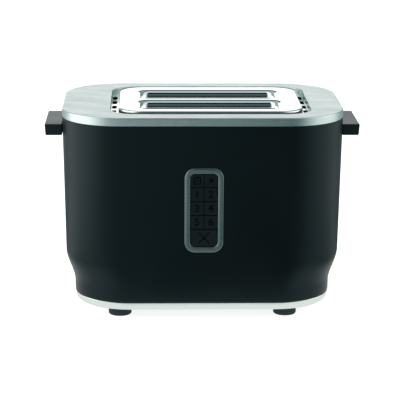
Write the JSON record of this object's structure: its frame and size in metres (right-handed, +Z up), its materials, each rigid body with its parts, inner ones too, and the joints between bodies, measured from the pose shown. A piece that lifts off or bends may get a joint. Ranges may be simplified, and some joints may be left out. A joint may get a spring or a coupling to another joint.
{
  "type": "two-slice toaster",
  "caption": "Two-slice toaster with a dark housing, brushed steel top, long slots side by side, end grips that lower the bread, and a front keypad.",
  "frame": {"origin": "on the floor under the middle of the body", "axes": "+X to the right along the length, -Y towards the user and the keypad, +Z up"},
  "size_m": [0.307, 0.1924, 0.201],
  "materials": {
    "housing_black": "fine satin texture, nearly black",
    "brushed_cover": "brushed along the length",
    "polished_steel": "mirror polished",
    "ring_steel": "satin, bright",
    "base_plastic": "matt black",
    "foot_rubber": "matt dark grey",
    "grip_plastic": "satin dark grey",
    "bezel_metal": "satin dark metal",
    "key_black": "satin black",
    "sheet_steel": "plain galvanised sheet",
    "reflector_sheet": "plain bright sheet",
    "tray_sheet": "plain dull sheet",
    "wire_steel": "drawn wire and strip",
    "mica": "mica board",
    "heater_alloy": "dark heating ribbon",
    "spring_steel": "spring wire",
    "core_iron": "laminated core",
    "coil_copper": "enamelled winding",
    "circuit": "green circuit board",
    "carrier_plastic": "matt plastic"
  },
  "bodies": {
    "chassis": {"base_plate": "base_plastic", "base_ring": "ring_steel", "control_board": "circuit", "cord_gland": "base_plastic", "end_plate_left": "sheet_steel", "end_plate_right": "sheet_steel", "foot_back_left": "foot_rubber", "foot_back_right": "foot_rubber", "foot_front_left": "foot_rubber", "foot_front_right": "foot_rubber", "foot_screws": "wire_steel", "groove_pan": "polished_steel", "guide_rod_left": "wire_steel", "guide_rod_right": "wire_steel", "heater_board_back": "mica", "heater_board_front": "mica", "heater_board_middle": "mica", "heater_ribbon_back": "heater_alloy", "heater_ribbon_front": "heater_alloy", "heater_ribbon_middle": "heater_alloy", "keypad_bezel": "bezel_metal", "keypad_carrier": "carrier_plastic", "lift_spring": "spring_steel", "magnet_coil": "coil_copper", "magnet_core": "core_iron", "outer_housing": "housing_black", "power_board": "circuit", "reflector_back": "reflector_sheet", "reflector_front": "reflector_sheet", "slot_plate": "polished_steel", "top_cover": "brushed_cover"},
    "carriage": {"bread_rack_back": "wire_steel", "bread_rack_front": "wire_steel", "carriage_bracket_left": "sheet_steel", "carriage_bracket_right": "sheet_steel", "grip_left": "grip_plastic", "grip_right": "grip_plastic", "armature": "core_iron"},
    "guard_front_slot_front": {"guard_front_slot_front": "wire_steel"},
    "guard_front_slot_back": {"guard_front_slot_back": "wire_steel"},
    "guard_back_slot_front": {"guard_back_slot_front": "wire_steel"},
    "guard_back_slot_back": {"guard_back_slot_back": "wire_steel"},
    "key_slice": {"key_slice": "key_black"},
    "key_snow": {"key_snow": "key_black"},
    "key_1": {"key_1": "key_black"},
    "key_2": {"key_2": "key_black"},
    "key_3": {"key_3": "key_black"},
    "key_4": {"key_4": "key_black"},
    "key_5": {"key_5": "key_black"},
    "key_6": {"key_6": "key_black"},
    "key_cross": {"key_cross": "key_black"},
    "crumb_tray": {"crumb_tray": "tray_sheet"}
  },
  "joints": [
    {"name": "carriage_slide", "type": "slide", "parent": "chassis", "child": "carriage", "axis": [0, 0, -1], "range_m": [0, 0.078], "stiffness_N_per_m": 120, "springref_m": -0.045, "deforming": ["lift_spring"]},
    {"name": "guard_front_slot_front_close", "type": "slide", "parent": "chassis", "child": "guard_front_slot_front", "axis": [0, 1, 0], "range_m": [0, 0.008]},
    {"name": "guard_front_slot_back_close", "type": "slide", "parent": "chassis", "child": "guard_front_slot_back", "axis": [0, -1, 0], "range_m": [0, 0.008]},
    {"name": "guard_back_slot_front_close", "type": "slide", "parent": "chassis", "child": "guard_back_slot_front", "axis": [0, 1, 0], "range_m": [0, 0.008]},
    {"name": "guard_back_slot_back_close", "type": "slide", "parent": "chassis", "child": "guard_back_slot_back", "axis": [0, -1, 0], "range_m": [0, 0.008]},
    {"name": "key_slice_press", "type": "slide", "parent": "chassis", "child": "key_slice", "axis": [0, 0.9998, 0.0192], "range_m": [0, 0.0008], "stiffness_N_per_m": 400, "springref_m": -0.001},
    {"name": "key_snow_press", "type": "slide", "parent": "chassis", "child": "key_snow", "axis": [0, 0.9998, 0.0192], "range_m": [0, 0.0008], "stiffness_N_per_m": 400, "springref_m": -0.001},
    {"name": "key_1_press", "type": "slide", "parent": "chassis", "child": "key_1", "axis": [0, 0.9998, 0.0192], "range_m": [0, 0.0008], "stiffness_N_per_m": 400, "springref_m": -0.001},
    {"name": "key_2_press", "type": "slide", "parent": "chassis", "child": "key_2", "axis": [0, 0.9998, 0.0192], "range_m": [0, 0.0008], "stiffness_N_per_m": 400, "springref_m": -0.001},
    {"name": "key_3_press", "type": "slide", "parent": "chassis", "child": "key_3", "axis": [0, 0.9998, 0.0192], "range_m": [0, 0.0008], "stiffness_N_per_m": 400, "springref_m": -0.001},
    {"name": "key_4_press", "type": "slide", "parent": "chassis", "child": "key_4", "axis": [0, 0.9998, 0.0192], "range_m": [0, 0.0008], "stiffness_N_per_m": 400, "springref_m": -0.001},
    {"name": "key_5_press", "type": "slide", "parent": "chassis", "child": "key_5", "axis": [0, 0.9998, 0.0192], "range_m": [0, 0.0008], "stiffness_N_per_m": 400, "springref_m": -0.001},
    {"name": "key_6_press", "type": "slide", "parent": "chassis", "child": "key_6", "axis": [0, 0.9998, 0.0192], "range_m": [0, 0.0008], "stiffness_N_per_m": 400, "springref_m": -0.001},
    {"name": "key_cross_press", "type": "slide", "parent": "chassis", "child": "key_cross", "axis": [0, 0.9998, 0.0192], "range_m": [0, 0.0008], "stiffness_N_per_m": 400, "springref_m": -0.001},
    {"name": "crumb_tray_draw", "type": "slide", "parent": "chassis", "child": "crumb_tray", "axis": [0, 1, 0], "range_m": [0, 0.14]}
  ],
  "couplings": [
    {"joint": "guard_front_slot_front_close", "follows": "carriage_slide", "ratio": 0.1},
    {"joint": "guard_front_slot_back_close", "follows": "carriage_slide", "ratio": 0.1},
    {"joint": "guard_back_slot_front_close", "follows": "carriage_slide", "ratio": 0.1},
    {"joint": "guard_back_slot_back_close", "follows": "carriage_slide", "ratio": 0.1}
  ]
}
